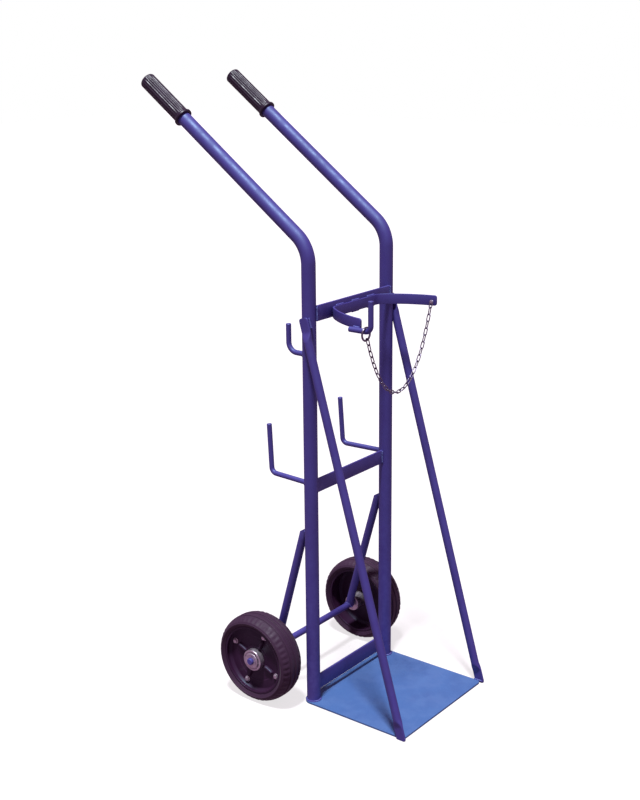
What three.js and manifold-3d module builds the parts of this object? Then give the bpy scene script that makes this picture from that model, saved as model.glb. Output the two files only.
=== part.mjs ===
// Gas cylinder trolley for oxy-acetylene work. Units are millimetres.
// X runs across the trolley (left is -X), Y runs backwards and Z up.
// The origin is on the ground, midway between the two uprights.
import * as THREE from 'three';
import { mergeVertices } from 'three/addons/utils/BufferGeometryUtils.js';
import Module from 'manifold-3d';

const wasm = await Module();
wasm.setup();

// ---------- driving dimensions ----------
const GAP = 0.3;                 // clearance left between pieces that touch
const SIDES = 24;                // facets round a frame tube

const UPRIGHT_X = 145;           // half the spacing of the uprights' centre lines
const TUBE_R = 15.9;             // 31.8 mm frame tube
const WALL = 2;
const BEND_CORNER_Z = 1083;      // where the centre lines of upright and handle cross
const BEND_R = 76;
const HANDLE_ANGLE = THREE.MathUtils.degToRad(36.2); // handle above the horizontal
const HANDLE_LENGTH = 570;       // from the crossing point to the tube's open end

const GRIP_LENGTH = 138;
const GRIP_R = 18.6;
const COLLAR_R = 22;
const GRIP_END_WALL = 3.5;

const TOP_BAR_Y = -14.5;         // the top bar lies across the uprights' front, the others between them
const TOP_BAR_Z = 938.5;
const TOP_BAR_H = 35;
const MIDDLE_BAR_Z = 535;
const MIDDLE_BAR_H = 33;
const BOTTOM_BAR_Z = 41.5;
const BOTTOM_BAR_H = 38;
const BAR_T = 5;

const PLATE_HALF_W = 165;
const PLATE_FRONT_Y = -271.5;
const PLATE_BACK_Y = 18;
const PLATE_T = 5;
const PLATE_FRONT_CORNER_R = 10;
const PLATE_BACK_CORNER_R = 20;

const STAY_R = 9.6;              // 19 mm stay tube
const STAY_WALL = 1.5;
const FRONT_STAY_X = 165.7;
const FRONT_STAY_TOP = [0, 925];        // Y and Z of the upper fixing
const FRONT_STAY_FOOT = [-265, 9];      // Y and Z of the lower fixing
const TAB_T = 5;                 // flattened ends of the front stays
const TAB_W = 24;
const TAB_LENGTH = 30;
const TAB_TAPER = 24;

const AXLE_Y = 112.3;
const AXLE_Z = 106.7;
const AXLE_R = 8;
const AXLE_HALF_LENGTH = 245;
const AXLE_STAY_TOP_Z = 502;     // where the stay's centre line meets the upright's
const AXLE_STAY_TRIM_Z = 443.6;  // height of the plane that cuts its top off, on the upright's centre line
const AXLE_STAY_TRIM_ANGLE = THREE.MathUtils.degToRad(31);

const WHEEL_X = 204.5;           // centre plane of each wheel
const TYRE_R = AXLE_Z;           // the tyre stands on the ground
const RIM_R = 84;
const WEB_OUT = 16;              // outer face of the rim's web, from the wheel's centre plane
const WEB_T = 6;
const HUB_R = 20;
const BOSS_R = 26;
const HUB_INNER = -48.5;
const HUB_OUTER = 31.5;
const RUNNING = 0.05;            // radial clearance of the hub on the axle
const RIB_COUNT = 4;
const RIB_START = THREE.MathUtils.degToRad(-66);
const BOLT_CIRCLE_R = 67.5;
const BOLT_HEAD_R = 7.2;
const BOLT_HEAD_H = 5.5;

const SADDLE_R = 233;            // centre line of the cradle's curved arms
const SADDLE_T = 4;
const SADDLE_CENTRE_X = -84;     // of the right arm's curve, beyond the middle of the trolley
const SADDLE_CENTRE_Y = -180;
const SADDLE_TIP_Y = -141;
const SADDLE_Z = 921;
const SADDLE_H = 24;
const CHAIN_HOLE_Y = -131;
const CHAIN_HOLE_Z = 931;
const SCREW_R = 2;               // screw through the right arm that holds the chain's last link
const SCREW_HEAD_X = 137.4;      // underside of its head
const SCREW_HEAD_T = 2.8;
const SCREW_END_X = 152.5;
const NUT_X = 147;
const HEX_R = 4.05;              // over the corners of head and nut
const NUT_T = 3.2;

const ROD_R = 6;                 // all the bent hooks
const SADDLE_HOOK = { z: 921, reach: -172, top: 988, bend: 14 };
const SADDLE_HOOK_ROOT_Y = -116;
const TORCH_HOOK = { z: 845, reach: 58, top: 908, bend: 26 };
const HOSE_HOOK = { z: 545, reach: 122, lean: 7, top: 661, bend: 14 };
const HOSE_HOOK_ROOT_X = 143.5;   // the hose hooks lean inward from their roots to their tips
const HOSE_HOOK_CORNER_X = 136;
const HOSE_HOOK_TIP_X = 134.5;

const CHAIN_R = 4.5;             // half the width over the links
const CHAIN_LENGTH = 446;
const CHAIN_STEPS = 44;
const RING_R = 14;               // centre line of the chain's end ring
const RING_WIRE_R = 2.25;
const RING_Y = -159.5;

// ---------- materials ----------
const finish = (color, roughness, metalness) => new THREE.MeshStandardMaterial({ color, roughness, metalness });
const framePaint = () => finish(0x43298a, 0.42, 0.25);
const platePaint = () => finish(0x4a3596, 0.45, 0.25);
const gripRubber = () => finish(0x2c1540, 0.7, 0);
const tyreRubber = () => finish(0x2a161f, 0.85, 0);
const rimPaint = () => finish(0x331a2a, 0.6, 0.1);
const zinc = () => finish(0xb9ada8, 0.4, 0.85);
const chainSteel = () => finish(0x8d8799, 0.35, 0.9);

// ---------- solids ----------
function solid(geometry) {
  const plain = geometry.index ? geometry.clone() : geometry;
  plain.deleteAttribute('normal');
  plain.deleteAttribute('uv');
  const merged = mergeVertices(plain, 1e-4);
  return new wasm.Manifold(new wasm.Mesh({
    numProp: 3,
    vertProperties: new Float32Array(merged.attributes.position.array),
    triVerts: new Uint32Array(merged.index.array),
  }));
}

function geometryOf(manifold) {
  const mesh = manifold.getMesh();
  const geometry = new THREE.BufferGeometry();
  geometry.setAttribute('position', new THREE.BufferAttribute(new Float32Array(mesh.vertProperties), 3));
  geometry.setIndex(new THREE.BufferAttribute(new Uint32Array(mesh.triVerts), 1));
  geometry.computeVertexNormals();
  return geometry;
}

// A polygon whose flats touch a circle of radius r, for a cutter that has to clear that circle.
const outside = (r, sides) => r / Math.cos(Math.PI / sides);

function cylinderAlong(axis, r, length, centre, sides = SIDES) {
  const geometry = new THREE.CylinderGeometry(r, r, length, sides);
  if (axis === 'x') geometry.rotateZ(Math.PI / 2);
  if (axis === 'z') geometry.rotateX(Math.PI / 2);
  return geometry.translate(...centre);
}

function box(sx, sy, sz, centre) {
  return new THREE.BoxGeometry(sx, sy, sz).translate(...centre);
}

// A route through fixed points, sampled at those points and nowhere else.
class Route extends THREE.Curve {
  constructor(points) {
    super();
    this.points = points;
  }

  getPoint(t, target = new THREE.Vector3()) {
    const last = this.points.length - 1;
    const i = Math.min(Math.floor(t * last), last - 1);
    return target.lerpVectors(this.points[i], this.points[i + 1], t * last - i);
  }

  getUtoTmapping(u) {
    return u;
  }
}

// Corner points joined by straight runs, each inner corner rounded to radius r in a number of steps.
function rounded(corners, r, steps) {
  const p = corners.map((c) => new THREE.Vector3(...c));
  const out = [p[0]];
  for (let i = 1; i < p.length - 1; i += 1) {
    const a = p[i - 1].clone().sub(p[i]).normalize();
    const b = p[i + 1].clone().sub(p[i]).normalize();
    const half = a.angleTo(b) / 2;
    const centre = a.clone().add(b).normalize().multiplyScalar(r / Math.sin(half)).add(p[i]);
    const from = a.multiplyScalar(r / Math.tan(half)).add(p[i]).sub(centre);
    const to = b.multiplyScalar(r / Math.tan(half)).add(p[i]).sub(centre);
    const axis = from.clone().cross(to).normalize();
    for (let k = 0; k <= steps; k += 1) {
      const turn = ((Math.PI - 2 * half) * k) / steps;
      out.push(from.clone().applyAxisAngle(axis, turn).add(centre));
    }
  }
  out.push(p[p.length - 1]);
  return out;
}

function circlePoints(r, sides, clockwise = false) {
  return Array.from({ length: sides }, (_, i) => {
    const angle = ((clockwise ? -1 : 1) * 2 * Math.PI * i) / sides;
    return new THREE.Vector2(r * Math.cos(angle), r * Math.sin(angle));
  });
}

// A round bar, or a tube when it has a bore, along a list of points.
function tubeAlong(points, r, bore = 0, sides = SIDES) {
  const shape = new THREE.Shape(circlePoints(r, sides));
  if (bore) shape.holes.push(new THREE.Path(circlePoints(bore, sides, true)));
  return new THREE.ExtrudeGeometry(shape, {
    steps: points.length - 1, extrudePath: new Route(points), bevelEnabled: false,
  });
}

// A solid turned about the X axis from a profile of [radius, distance along X] pairs.
function turned(profile, segments) {
  const points = profile.map(([r, x]) => new THREE.Vector2(r, x));
  return new THREE.LatheGeometry(points, segments).rotateZ(-Math.PI / 2);
}

const group = new THREE.Group();

function piece(name, geometry, material, parent = group) {
  const mesh = new THREE.Mesh(geometry, material);
  mesh.name = name;
  parent.add(mesh);
  return mesh;
}

// ---------- base plate ----------
{
  const w = PLATE_HALF_W;
  const [f, b] = [PLATE_FRONT_CORNER_R, PLATE_BACK_CORNER_R];
  const outline = new THREE.Shape();
  outline.moveTo(-w + f, PLATE_FRONT_Y);
  outline.lineTo(w - f, PLATE_FRONT_Y);
  outline.absarc(w - f, PLATE_FRONT_Y + f, f, -Math.PI / 2, 0);
  outline.lineTo(w, PLATE_BACK_Y - b);
  outline.absarc(w - b, PLATE_BACK_Y - b, b, 0, Math.PI / 2);
  outline.lineTo(-w + b, PLATE_BACK_Y);
  outline.absarc(-w + b, PLATE_BACK_Y - b, b, Math.PI / 2, Math.PI);
  outline.lineTo(-w, PLATE_FRONT_Y + f);
  outline.absarc(-w + f, PLATE_FRONT_Y + f, f, Math.PI, 1.5 * Math.PI);
  const slab = new THREE.ExtrudeGeometry(outline, { depth: PLATE_T, bevelEnabled: false, curveSegments: 8 });
  piece('base_plate', slab, platePaint());
}

// ---------- uprights, grips and the pieces that repeat on both sides ----------
const uprightCutters = [-1, 1].map((side) => solid(
  cylinderAlong('z', outside(TUBE_R + GAP, SIDES), 1200, [side * UPRIGHT_X, 0, 500])));

function cope(geometry) {
  let body = solid(geometry);
  for (const cutter of uprightCutters) body = body.subtract(cutter);
  return body;
}

const sides = [['left', -1], ['right', 1]];
const handle = new THREE.Vector3(0, Math.cos(HANDLE_ANGLE), Math.sin(HANDLE_ANGLE));

for (const [label, side] of sides) {
  const corner = new THREE.Vector3(side * UPRIGHT_X, 0, BEND_CORNER_Z);
  const end = corner.clone().addScaledVector(handle, HANDLE_LENGTH);
  const foot = [corner.x, 0, PLATE_T + GAP];
  const run = rounded([foot, corner.toArray(), end.toArray()], BEND_R, 8);
  piece(`${label}_upright`, tubeAlong(run, TUBE_R, TUBE_R - WALL), framePaint());

  const inner = TUBE_R + GAP;
  const depth = GRIP_LENGTH - GRIP_END_WALL;
  const sleeve = new THREE.LatheGeometry([
    [0, depth], [inner, depth], [inner, 0], [COLLAR_R - 1, 0], [COLLAR_R, 1], [COLLAR_R, 4],
    [GRIP_R, 7], [GRIP_R, GRIP_LENGTH - 4], [GRIP_R - 3, GRIP_LENGTH], [0, GRIP_LENGTH],
  ].map(([r, y]) => new THREE.Vector2(r, y)), 28);
  const grip = piece(`${label}_grip`, sleeve, gripRubber());
  grip.position.copy(end).addScaledVector(handle, GAP - depth);
  grip.rotation.x = HANDLE_ANGLE;
}

// ---------- crossbars, of flat bar ----------
function crossbar(name, halfLength, y, z, height) {
  piece(name, geometryOf(cope(box(2 * halfLength, BAR_T, height, [0, y, z]))), framePaint());
}

crossbar('top_crossbar', UPRIGHT_X - 7, TOP_BAR_Y, TOP_BAR_Z, TOP_BAR_H);
crossbar('middle_crossbar', UPRIGHT_X - 1, 0, MIDDLE_BAR_Z, MIDDLE_BAR_H);
crossbar('bottom_crossbar', UPRIGHT_X - 1, 0, BOTTOM_BAR_Z, BOTTOM_BAR_H);

// ---------- front stays: straight tubes with flattened ends ----------
const [stayTopY, stayTopZ] = FRONT_STAY_TOP;
const [stayFootY, stayFootZ] = FRONT_STAY_FOOT;
const stayLength = Math.hypot(stayTopY - stayFootY, stayTopZ - stayFootZ);
const stayLean = Math.atan2(stayTopY - stayFootY, stayTopZ - stayFootZ);
const ground = solid(box(600, 900, 40, [0, 0, -20 + GAP]));

// The flattened end of a stay, along +Z from its fixing point at the local origin, and a little past it.
function flattenedEnd(offset, past) {
  const taper = new THREE.Shape([
    [offset - TAB_T / 2, TAB_LENGTH], [offset + TAB_T / 2, TAB_LENGTH],
    [STAY_R * 0.9, TAB_LENGTH + TAB_TAPER], [-STAY_R * 0.9, TAB_LENGTH + TAB_TAPER],
  ].map(([x, z]) => new THREE.Vector2(x, z)));
  const wedge = new THREE.ExtrudeGeometry(taper, { depth: STAY_R * 1.9, bevelEnabled: false });
  wedge.translate(0, 0, -STAY_R * 0.95).rotateX(Math.PI / 2);
  const reach = TAB_LENGTH + 8;
  return [wedge, box(TAB_T, TAB_W, reach + past, [offset, 0, (reach - past) / 2])];
}

for (const [label, side] of sides) {
  const topOffset = side * (UPRIGHT_X + TUBE_R + GAP + TAB_T / 2 - FRONT_STAY_X);
  const footOffset = side * (PLATE_HALF_W + GAP + TAB_T / 2 - FRONT_STAY_X);
  const from = TAB_LENGTH + TAB_TAPER - 4;
  const run = [new THREE.Vector3(0, 0, from), new THREE.Vector3(0, 0, stayLength - from)];
  const ends = [
    ...flattenedEnd(footOffset, 12),
    ...flattenedEnd(-topOffset, 6).map((end) => end.rotateY(Math.PI).translate(0, 0, stayLength)),
  ];
  let stay = solid(tubeAlong(run, STAY_R));
  for (const end of ends) stay = stay.add(solid(end));
  const leaning = geometryOf(stay).rotateX(-stayLean);
  leaning.translate(side * FRONT_STAY_X, stayFootY, stayFootZ);
  const cut = solid(leaning).subtract(ground).subtract(uprightCutters[side < 0 ? 0 : 1]);
  piece(`${label}_front_stay`, geometryOf(cut), framePaint());
}

// ---------- axle and the stays that carry it ----------
const axleCutter = solid(cylinderAlong('x', outside(AXLE_R + GAP, SIDES), 600, [0, AXLE_Y, AXLE_Z]));

for (const [label, side] of sides) {
  const top = new THREE.Vector3(side * UPRIGHT_X, 0, AXLE_STAY_TOP_Z);
  const foot = new THREE.Vector3(side * UPRIGHT_X, AXLE_Y, AXLE_Z);
  foot.lerp(top, 4 / foot.distanceTo(top));
  const stay = cope(tubeAlong([foot, top], STAY_R, STAY_R - STAY_WALL)).subtract(axleCutter)
    .trimByPlane([0, -Math.sin(AXLE_STAY_TRIM_ANGLE), -Math.cos(AXLE_STAY_TRIM_ANGLE)],
      -AXLE_STAY_TRIM_Z * Math.cos(AXLE_STAY_TRIM_ANGLE));
  piece(`${label}_axle_stay`, geometryOf(stay), framePaint());
}

const axle = turned([
  [0, -AXLE_HALF_LENGTH], [AXLE_R - 1.5, -AXLE_HALF_LENGTH], [AXLE_R, 1.5 - AXLE_HALF_LENGTH],
  [AXLE_R, AXLE_HALF_LENGTH - 1.5], [AXLE_R - 1.5, AXLE_HALF_LENGTH], [0, AXLE_HALF_LENGTH],
], 32);
piece('axle', axle, framePaint()).position.set(0, AXLE_Y, AXLE_Z);

// ---------- wheels ----------
const webIn = WEB_OUT - WEB_T;
const bore = outside(AXLE_R + RUNNING, 32);

function rimGeometry() {
  const barrel = RIM_R - 4;
  let rim = solid(turned([
    [HUB_R + GAP, webIn], [barrel - 4, webIn], [barrel, webIn - 4], [barrel, -27], [barrel - 2, -30],
    [RIM_R, -30], [RIM_R, 30], [barrel - 2, 30], [barrel, 27], [barrel, WEB_OUT + 4],
    [barrel - 4, WEB_OUT], [HUB_R + GAP, WEB_OUT], [HUB_R + GAP, webIn],
  ], 48));
  for (let k = 0; k < RIB_COUNT; k += 1) {
    const from = BOSS_R + 3;
    const to = BOLT_CIRCLE_R - BOLT_HEAD_R - 3;
    const rib = box(WEB_T + 7, to - from, 9, [WEB_OUT, (from + to) / 2, 0]);
    rim = rim.add(solid(rib.rotateX(RIB_START + (k * 2 * Math.PI) / RIB_COUNT)));
  }
  return geometryOf(rim);
}

for (const [label, side] of sides) {
  const wheel = new THREE.Group();
  wheel.position.set(side * WHEEL_X, AXLE_Y, AXLE_Z);
  group.add(wheel);
  // Everything is drawn with +X outward; the left wheel is the right one turned about Z.
  const out = new THREE.Group();
  out.rotation.z = side < 0 ? Math.PI : 0;
  wheel.add(out);

  piece(`${label}_tyre`, turned([
    [RIM_R + GAP, -29.5], [90, -34.5], [94.5, -35.5], [98, -32], [101.5, -25], [104.8, -16],
    [TYRE_R, -5], [TYRE_R, 5], [104.8, 16], [101.5, 25], [98, 32], [94.5, 35.5], [90, 34.5],
    [RIM_R + GAP, 29.5], [RIM_R + GAP, -29.5],
  ], 48), tyreRubber(), out);
  piece(`${label}_rim`, rimGeometry(), rimPaint(), out);
  piece(`${label}_hub`, turned([
    [bore, HUB_INNER], [HUB_R - 3, HUB_INNER], [HUB_R, HUB_INNER + 3], [HUB_R, WEB_OUT + GAP],
    [BOSS_R, WEB_OUT + GAP], [BOSS_R, HUB_OUTER - 4], [BOSS_R - 4, HUB_OUTER], [bore, HUB_OUTER],
    [bore, HUB_INNER],
  ], 32), zinc(), out);
  for (let k = 0; k < RIB_COUNT; k += 1) {
    const angle = RIB_START + (k * 2 * Math.PI) / RIB_COUNT;
    const bolt = piece(`${label}_rim_bolt_${k + 1}`, turned([
      [0, 0], [BOLT_HEAD_R, 0], [BOLT_HEAD_R, BOLT_HEAD_H - 1.5], [BOLT_HEAD_R - 1.5, BOLT_HEAD_H],
      [0, BOLT_HEAD_H],
    ], 12), zinc(), out);
    bolt.position.set(WEB_OUT + GAP, BOLT_CIRCLE_R * Math.cos(angle), BOLT_CIRCLE_R * Math.sin(angle));
  }
  const inner = outside(AXLE_R + GAP, 24);
  piece(`${label}_axle_retainer`, turned([
    [inner, HUB_OUTER + GAP], [19, HUB_OUTER + GAP], [19, HUB_OUTER + 2], [17.5, HUB_OUTER + 3.3],
    [inner, HUB_OUTER + 3.3], [inner, HUB_OUTER + GAP],
  ], 24), zinc(), out);
}

// ---------- cylinder cradle, bent from flat bar ----------
const backY = TOP_BAR_Y - BAR_T / 2 - GAP;

// Outer face of the arms at their tips.
const armOuterR = SADDLE_R + SADDLE_T / 2;
const armTipX = SADDLE_CENTRE_X + Math.sqrt(armOuterR ** 2 - (SADDLE_TIP_Y - SADDLE_CENTRE_Y) ** 2);

// Plan outline of the cradle.
function cradleBand() {
  const edge = (offset, reverse) => {
    const r = SADDLE_R - SADDLE_T / 2 + offset;
    const y = backY - SADDLE_T + offset;
    const start = Math.asin((SADDLE_TIP_Y - SADDLE_CENTRE_Y) / r);
    const corner = Math.asin((y - SADDLE_CENTRE_Y) / r);
    const points = [];
    for (let i = 0; i <= 10; i += 1) {
      const angle = start + ((corner - start) * i) / 10;
      const x = SADDLE_CENTRE_X + r * Math.cos(angle);
      points.push(new THREE.Vector2(x, SADDLE_CENTRE_Y + r * Math.sin(angle)));
    }
    const left = points.map((p) => new THREE.Vector2(-p.x, p.y)).reverse();
    const all = [...points, ...left];
    return reverse ? all.reverse() : all;
  };
  return new THREE.Shape([...edge(SADDLE_T, false), ...edge(0, true)]);
}

{
  const band = new THREE.ExtrudeGeometry(cradleBand(), { depth: SADDLE_H, bevelEnabled: false });
  const hole = cylinderAlong('x', outside(SCREW_R + GAP, SIDES), 40, [armTipX, CHAIN_HOLE_Y, CHAIN_HOLE_Z]);
  const saddle = solid(band.translate(0, 0, SADDLE_Z)).subtract(solid(hole));
  piece('cylinder_saddle', geometryOf(saddle), framePaint());
}

// Screw along X through the right arm, its head inside the cradle, and its nut.
{
  const along = (from, to, r, sideCount) => solid(cylinderAlong(
    'x', r, to - from, [(from + to) / 2, CHAIN_HOLE_Y, CHAIN_HOLE_Z], sideCount));
  const head = along(SCREW_HEAD_X - SCREW_HEAD_T, SCREW_HEAD_X, HEX_R, 6);
  const shank = along(SCREW_HEAD_X - 1, SCREW_END_X, SCREW_R, SIDES);
  piece('chain_screw', geometryOf(head.add(shank)), zinc());
  const threads = along(NUT_X - 1, NUT_X + NUT_T + 1, outside(SCREW_R + GAP, SIDES), SIDES);
  piece('chain_nut', geometryOf(along(NUT_X, NUT_X + NUT_T, HEX_R, 6).subtract(threads)), zinc());
}

// ---------- bent rod hooks ----------
const saddleHookX = -(armTipX + GAP + ROD_R);
const uprightBack = TUBE_R + GAP;

function hook(name, [rootX, cornerX, tipX], fromY, { z, reach, lean = 0, top, bend }) {
  const corners = [[rootX, fromY, z], [cornerX, reach, z], [tipX, reach + lean, top]];
  return piece(name, tubeAlong(rounded(corners, bend, 7), ROD_R, 0, 12), framePaint());
}

hook('saddle_hook', [saddleHookX, saddleHookX, saddleHookX], SADDLE_HOOK_ROOT_Y, SADDLE_HOOK);
hook('torch_hook', [-UPRIGHT_X, -UPRIGHT_X, -UPRIGHT_X], uprightBack, TORCH_HOOK);
for (const [label, side] of sides) {
  const across = [HOSE_HOOK_ROOT_X, HOSE_HOOK_CORNER_X, HOSE_HOOK_TIP_X].map((x) => side * x);
  hook(`${label}_hose_hook`, across, uprightBack, HOSE_HOOK);
}

// ---------- safety chain ----------
// The ring hangs in the bend of the saddle hook; the chain hangs from it to the screw in the right arm.
const seatR = SADDLE_HOOK.bend - ROD_R - GAP - RING_WIRE_R;
const seatDrop = Math.sqrt(seatR ** 2 - (RING_Y - SADDLE_HOOK.reach - SADDLE_HOOK.bend) ** 2);
const ringCentre = new THREE.Vector3(saddleHookX, RING_Y, SADDLE_HOOK.z + SADDLE_HOOK.bend - seatDrop - RING_R);
const ring = new THREE.TorusGeometry(RING_R, RING_WIRE_R, 8, 24).rotateX(Math.PI / 2);
piece('chain_ring', ring, chainSteel()).position.copy(ringCentre);

const chainStart = ringCentre.clone().add(new THREE.Vector3(5.9, 0, -15.8));
const chainEnd = new THREE.Vector3(134.5, CHAIN_HOLE_Y, CHAIN_HOLE_Z - 9);

// Points of a hanging chain of the given length between two fixings.
function catenary(a, b, length, steps) {
  const across = new THREE.Vector3(b.x - a.x, b.y - a.y, 0);
  const span = across.length();
  const rise = b.z - a.z;
  const target = Math.sqrt(length ** 2 - rise ** 2);
  let [low, high] = [span / 20, span * 20];
  for (let i = 0; i < 60; i += 1) {
    const mid = (low + high) / 2;
    if (2 * mid * Math.sinh(span / (2 * mid)) > target) low = mid; else high = mid;
  }
  const c = (low + high) / 2;
  const lowest = span / 2 - c * Math.atanh(rise / length);
  const height = (s) => c * Math.cosh((s - lowest) / c);
  const arc = (s) => c * Math.sinh((s - lowest) / c);
  return Array.from({ length: steps + 1 }, (_, i) => {
    const wanted = arc(0) + (length * i) / steps;
    const s = lowest + c * Math.asinh(wanted / c);
    return a.clone().addScaledVector(across, s / span).setZ(a.z + height(s) - height(0));
  });
}

const chainRoute = catenary(chainStart, chainEnd, CHAIN_LENGTH, CHAIN_STEPS);
piece('chain', tubeAlong(chainRoute, CHAIN_R, 0, 8), chainSteel());

export default group;
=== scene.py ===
"""Looks of a gas cylinder trolley for oxy-acetylene work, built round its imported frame.

Metres, in the frame's own axes: X across the trolley (left is -X), Y backwards and Z up.
"""

import math

import bmesh
import bpy
from mathutils import Matrix, Vector


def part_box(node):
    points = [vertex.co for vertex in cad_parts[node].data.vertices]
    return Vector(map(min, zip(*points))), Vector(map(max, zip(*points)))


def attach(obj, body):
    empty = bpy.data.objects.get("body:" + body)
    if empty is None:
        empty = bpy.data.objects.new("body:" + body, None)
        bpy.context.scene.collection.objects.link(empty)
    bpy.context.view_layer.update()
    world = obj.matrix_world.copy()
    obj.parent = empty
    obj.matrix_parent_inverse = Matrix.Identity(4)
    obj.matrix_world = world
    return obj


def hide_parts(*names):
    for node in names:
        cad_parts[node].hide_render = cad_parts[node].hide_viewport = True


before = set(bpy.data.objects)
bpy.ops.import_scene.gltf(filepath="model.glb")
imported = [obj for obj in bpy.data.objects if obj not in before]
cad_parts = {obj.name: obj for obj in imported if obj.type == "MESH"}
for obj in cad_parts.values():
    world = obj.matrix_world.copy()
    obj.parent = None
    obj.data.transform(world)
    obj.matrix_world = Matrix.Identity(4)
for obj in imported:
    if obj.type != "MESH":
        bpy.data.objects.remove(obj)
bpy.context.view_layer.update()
scene = bpy.context.scene
SIDES = ((-1, "left"), (1, "right"))
GAP = 0.0003                      # that the frame leaves between pieces that touch
X, Y, Z = Vector((1, 0, 0)), Vector((0, 1, 0)), Vector((0, 0, 1))


def middle(node):
    low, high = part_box(node)
    return (low + high) / 2


# ---------- camera ----------
CAMERA_PLACE = (-2.3053, -1.7249, 1.5536)
CAMERA_YAW, CAMERA_TILT, CAMERA_ROLL = (math.radians(a) for a in (38.15, -16.36, 0.59))
CAMERA_LENS = 58.61


def make_camera():
    """The yaw is from +X towards +Y, the tilt above the horizon, the roll anticlockwise in the picture."""
    level = math.cos(CAMERA_TILT)
    ahead = Vector((level * math.cos(CAMERA_YAW), level * math.sin(CAMERA_YAW), math.sin(CAMERA_TILT)))
    right = ahead.cross(Z).normalized()
    right = Matrix.Rotation(CAMERA_ROLL, 3, ahead) @ right
    up = right.cross(ahead)
    data = bpy.data.cameras.new("camera")
    data.lens = CAMERA_LENS
    camera = bpy.data.objects.new("camera", data)
    camera.matrix_world = Matrix.Translation(CAMERA_PLACE) @ Matrix((right, up, -ahead)).transposed().to_4x4()
    scene.collection.objects.link(camera)
    scene.camera = camera


make_camera()


# ---------- meshes ----------
def circle(radius, sides, turn=0.0):
    """Points round a circle as pairs."""
    angles = [turn + 2 * math.pi * k / sides for k in range(sides)]
    return [(radius * math.cos(a), radius * math.sin(a)) for a in angles]


def rounded(corners, radii, steps=6, closed=False):
    """Straight runs between the corners, each inner corner rounded; radii is one number or one a corner."""
    points = [Vector(c).to_3d() for c in corners]
    count = len(points)
    if not hasattr(radii, "__len__"):
        radii = [radii] * count
    made = []
    for i, p in enumerate(points):
        if radii[i] <= 0 or (not closed and i in (0, count - 1)):
            made.append(p)
            continue
        a, b = points[i - 1] - p, points[(i + 1) % count] - p
        half = a.angle(b) / 2
        if half > math.radians(89.5):
            made.append(p)
            continue
        reach = min(radii[i] / math.tan(half), 0.48 * a.length, 0.48 * b.length)
        a.normalize()
        b.normalize()
        centre = p + (a + b).normalized() * (reach * math.tan(half) / math.sin(half))
        start = p + a * reach - centre
        axis = start.cross(p + b * reach - centre).normalized()
        turn = math.pi - 2 * half
        made += [centre + Matrix.Rotation(turn * k / steps, 3, axis) @ start for k in range(steps + 1)]
    return made


def tangents(points, closed=False):
    count = len(points)
    found = []
    for i in range(count):
        before = points[i - 1] if closed or i else points[0]
        after = points[(i + 1) % count] if closed or i < count - 1 else points[-1]
        found.append((after - before).normalized())
    return found


class Shell:
    """The vertices and faces of one piece, gathered part by part. Each part is a closed body."""

    def __init__(self):
        self.verts, self.faces = [], []

    def grid(self, rings, closed=False):
        """Joins rings of equal size, and caps the ends of an open run."""
        base, size, count = len(self.verts), len(rings[0]), len(rings)
        self.verts += [Vector(p) for ring in rings for p in ring]
        for i in range(count if closed else count - 1):
            a, b = base + i * size, base + (i + 1) % count * size
            self.faces += [(a + k, a + (k + 1) % size, b + (k + 1) % size, b + k) for k in range(size)]
        if not closed:
            self.faces.append(tuple(base + k for k in range(size)))
            self.faces.append(tuple(base + (count - 1) * size + k for k in range(size)))

    def sweep(self, points, side, section, closed=False):
        """Carries section(i), pairs along side and across it, along the points."""
        rings = []
        for i, (p, t) in enumerate(zip(points, tangents(points, closed))):
            u = (side - t * side.dot(t)).normalized()
            v = t.cross(u)
            rings.append([p + u * a + v * b for a, b in section(i)])
        self.grid(rings, closed)

    def rod(self, points, radius, side, sides=32, chamfer=0.0):
        """A round bar with chamfered ends."""
        if chamfer:
            ends = tangents(points)
            points = [points[0], points[0] + ends[0] * chamfer, *points[1:-1],
                      points[-1] - ends[-1] * chamfer, points[-1]]
        last = len(points) - 1
        self.sweep(points, side, lambda i: circle(radius - (chamfer if i in (0, last) else 0), sides))

    def turned(self, profile, centre, out, segments=64, closed=True, wave=None):
        """Turns (radius, distance) pairs about the line through centre along X; out is 1 or -1.

        wave(i, k) is taken from the radius of profile point i at segment k."""
        rings = []
        for i, (r, x, *_) in enumerate(profile):
            ring = []
            for k in range(segments):
                angle = 2 * math.pi * k / segments
                reach = r - (wave(i, k) if wave else 0)
                ring.append(centre + Vector((out * x, reach * math.cos(angle), reach * math.sin(angle))))
            rings.append(ring)
        self.grid(rings, closed)

    def weld(self, points, radius, centre=None, ripple=0.0024):
        """A rippled weld bead: round a closed loop about centre, or along an open line."""
        closed = centre is not None
        lengths = [(points[(i + 1) % len(points)] - p).length for i, p in enumerate(points)]
        total = sum(lengths if closed else lengths[:-1])
        beads = max(3, round(total / ripple))
        route = resampled(points, 4 * beads, closed)
        rings = []
        for i, (p, t) in enumerate(zip(route, tangents(route, closed))):
            side = p - centre if closed else (Z if abs(t.z) < 0.7 else X)
            u = (side - t * side.dot(t)).normalized()
            v = t.cross(u)
            size = radius * (0.93 + 0.07 * (i % 4))
            if not closed:
                size *= min(1, 0.35 + 0.3 * min(i, len(route) - 1 - i))
            rings.append([p + u * a + v * b for a, b in circle(size, 10)])
        self.grid(rings, closed)


def resampled(points, count, closed=False):
    """The same line with its points at equal steps: count of them, or one more when it is open."""
    line = points + [points[0]] if closed else list(points)
    along = [0.0]
    for a, b in zip(line, line[1:]):
        along.append(along[-1] + (b - a).length)
    made, i = [], 0
    for k in range(count if closed else count + 1):
        wanted = along[-1] * k / count
        while i < len(line) - 2 and along[i + 1] < wanted:
            i += 1
        share = (wanted - along[i]) / (along[i + 1] - along[i])
        made.append(line[i].lerp(line[i + 1], min(1.0, share)))
    return made


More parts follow.
